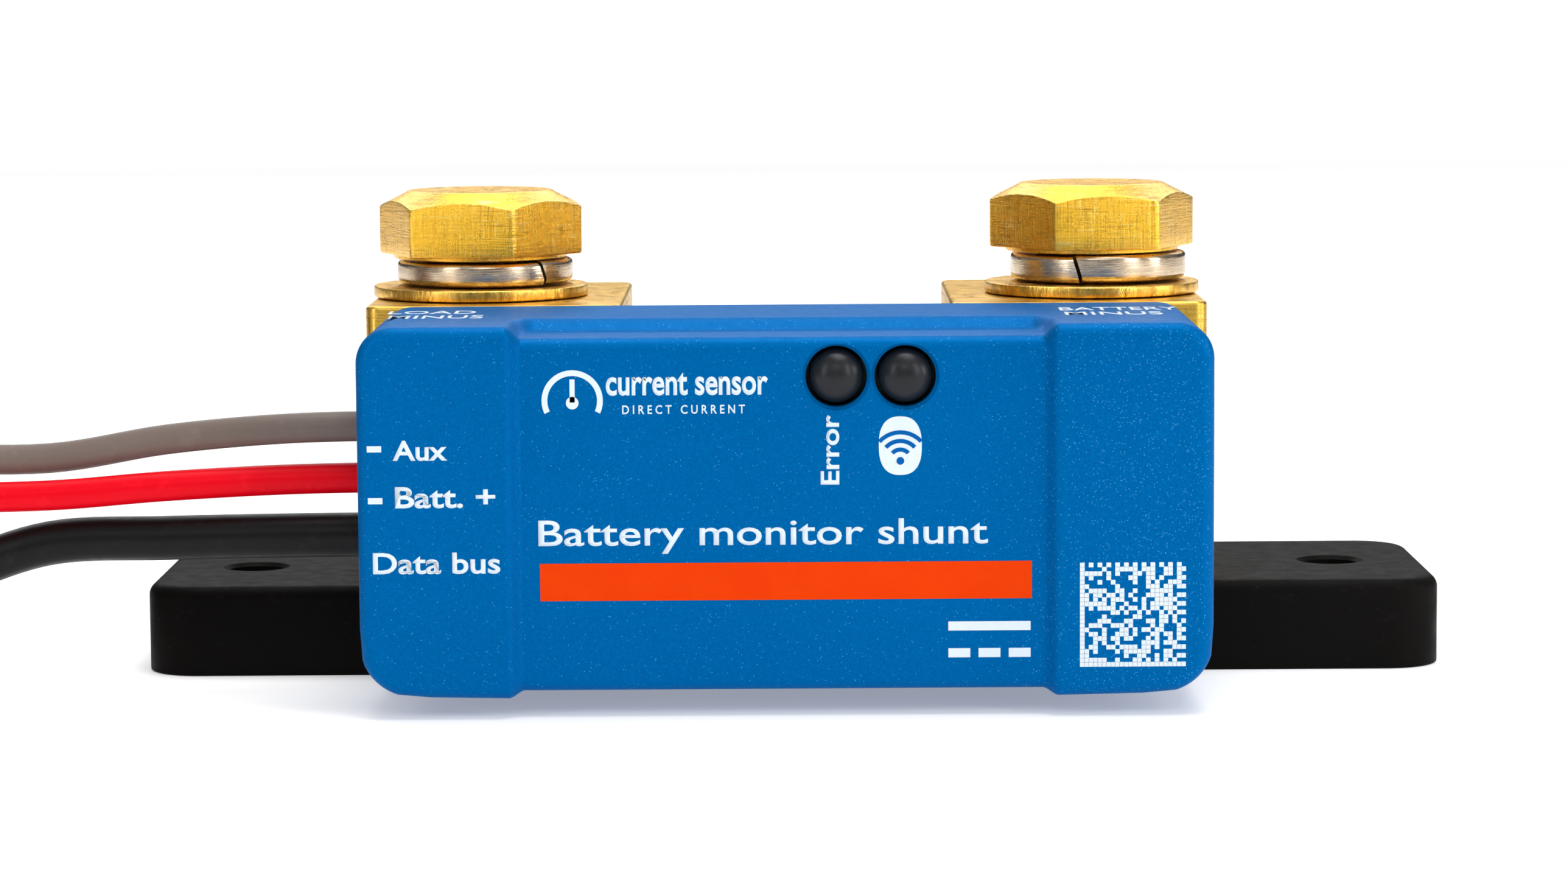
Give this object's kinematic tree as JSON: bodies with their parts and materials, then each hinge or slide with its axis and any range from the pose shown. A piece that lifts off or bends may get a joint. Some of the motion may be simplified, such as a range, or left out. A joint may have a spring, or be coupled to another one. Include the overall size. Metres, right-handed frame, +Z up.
{
  "type": "battery monitor shunt",
  "caption": "Battery monitor shunt: two brass bolt terminals on a black base, a blue electronics housing along the front, and plugged sense, aux and data leads.",
  "frame": {"origin": "bottom centre of the shunt's own box (leads not counted), on the surface that it stands on", "axes": "+X towards the battery-minus terminal, -Y towards the printed front of the housing, +Z up"},
  "size_m": [0.2006, 0.066, 0.0446],
  "materials": {
    "base_moulding": "fine moulded black, satin",
    "brass_block": "machined, horizontal tool marks",
    "steel_screw": "zinc plated",
    "manganin": "copper-manganese alloy, drawn",
    "blue_housing": "deep blue, fine grain with a faint sparkle",
    "black_plate": "matt",
    "board": "solder mask",
    "smoked_lens": "smoked, glossy",
    "led_chip": "gloss",
    "brass_hardware": "lightly scratched",
    "spring_bronze": "bright bronze, drawn lines",
    "component_black": "matt",
    "tinned_metal": "tinned",
    "socket_plastic": "matt",
    "socket_ivory": "matt",
    "grey_insulation": "soft PVC sheen",
    "red_insulation": "soft PVC sheen",
    "black_jacket": "satin PVC",
    "connector_black": "satin"
  },
  "bodies": {
    "root": {"base": "base_moulding", "load_block": "brass_block", "battery_block": "brass_block", "load_block_screw": "steel_screw", "battery_block_screw": "steel_screw", "manganin_strip_1": "manganin", "manganin_strip_2": "manganin", "manganin_strip_3": "manganin", "manganin_strip_4": "manganin", "front_cover": "blue_housing", "back_plate": "black_plate", "circuit_board": "board", "error_led_lens": "smoked_lens", "wireless_led_lens": "smoked_lens", "error_led_chip": "led_chip", "wireless_led_chip": "led_chip", "sense_screw_left": "brass_hardware", "sense_screw_right": "brass_hardware", "sense_spacer_left": "brass_hardware", "sense_spacer_right": "brass_hardware", "microcontroller": "component_black", "radio_module": "tinned_metal", "power_inductor": "component_black", "smoothing_capacitor": "component_black", "aux_socket": "socket_plastic", "battery_sense_socket": "socket_plastic", "data_socket": "socket_ivory"},
    "load_washers": {"load_plain_washer": "brass_hardware", "load_spring_washer": "spring_bronze"},
    "load_bolt": {"load_bolt": "brass_hardware"},
    "battery_washers": {"battery_plain_washer": "brass_hardware", "battery_spring_washer": "spring_bronze"},
    "battery_bolt": {"battery_bolt": "brass_hardware"},
    "aux_lead": {"aux_ferrule": "tinned_metal", "aux_wire": "grey_insulation", "aux_coil": "grey_insulation", "aux_wire_end": "grey_insulation", "aux_ring_terminal": "tinned_metal"},
    "battery_sense_lead": {"battery_sense_ferrule": "tinned_metal", "battery_sense_wire": "red_insulation", "battery_sense_coil": "red_insulation", "battery_sense_wire_end": "red_insulation", "battery_sense_ring_terminal": "tinned_metal"},
    "data_lead": {"data_plug": "connector_black", "data_cable": "black_jacket", "data_coil": "black_jacket", "data_cable_end": "black_jacket", "data_far_connector": "connector_black"}
  },
  "joints": [
    {"name": "load_bolt_turn", "type": "hinge", "parent": "root", "child": "load_washers", "pos_m": [-0.02915, 0.0096, 0.0343], "axis": [0, 0, 1], "range_deg": [0, 2880]},
    {"name": "load_bolt_lift", "type": "slide", "parent": "load_washers", "child": "load_bolt", "axis": [0, 0, 1], "range_m": [0, 0.0121]},
    {"name": "battery_bolt_turn", "type": "hinge", "parent": "root", "child": "battery_washers", "pos_m": [0.02825, 0.0096, 0.0343], "axis": [0, 0, 1], "range_deg": [0, 2880]},
    {"name": "battery_bolt_lift", "type": "slide", "parent": "battery_washers", "child": "battery_bolt", "axis": [0, 0, 1], "range_m": [0, 0.0121]},
    {"name": "aux_pull", "type": "slide", "parent": "root", "child": "aux_lead", "axis": [-1, 0, 0], "range_m": [0, 0.014]},
    {"name": "battery_sense_pull", "type": "slide", "parent": "root", "child": "battery_sense_lead", "axis": [-1, 0, 0], "range_m": [0, 0.014]},
    {"name": "data_pull", "type": "slide", "parent": "root", "child": "data_lead", "axis": [-1, 0, 0], "range_m": [0, 0.01]}
  ],
  "couplings": [
    {"joint": "load_bolt_lift", "follows": "load_bolt_turn", "m_per_rad": 0.00023873},
    {"joint": "battery_bolt_lift", "follows": "battery_bolt_turn", "m_per_rad": 0.00023873}
  ]
}
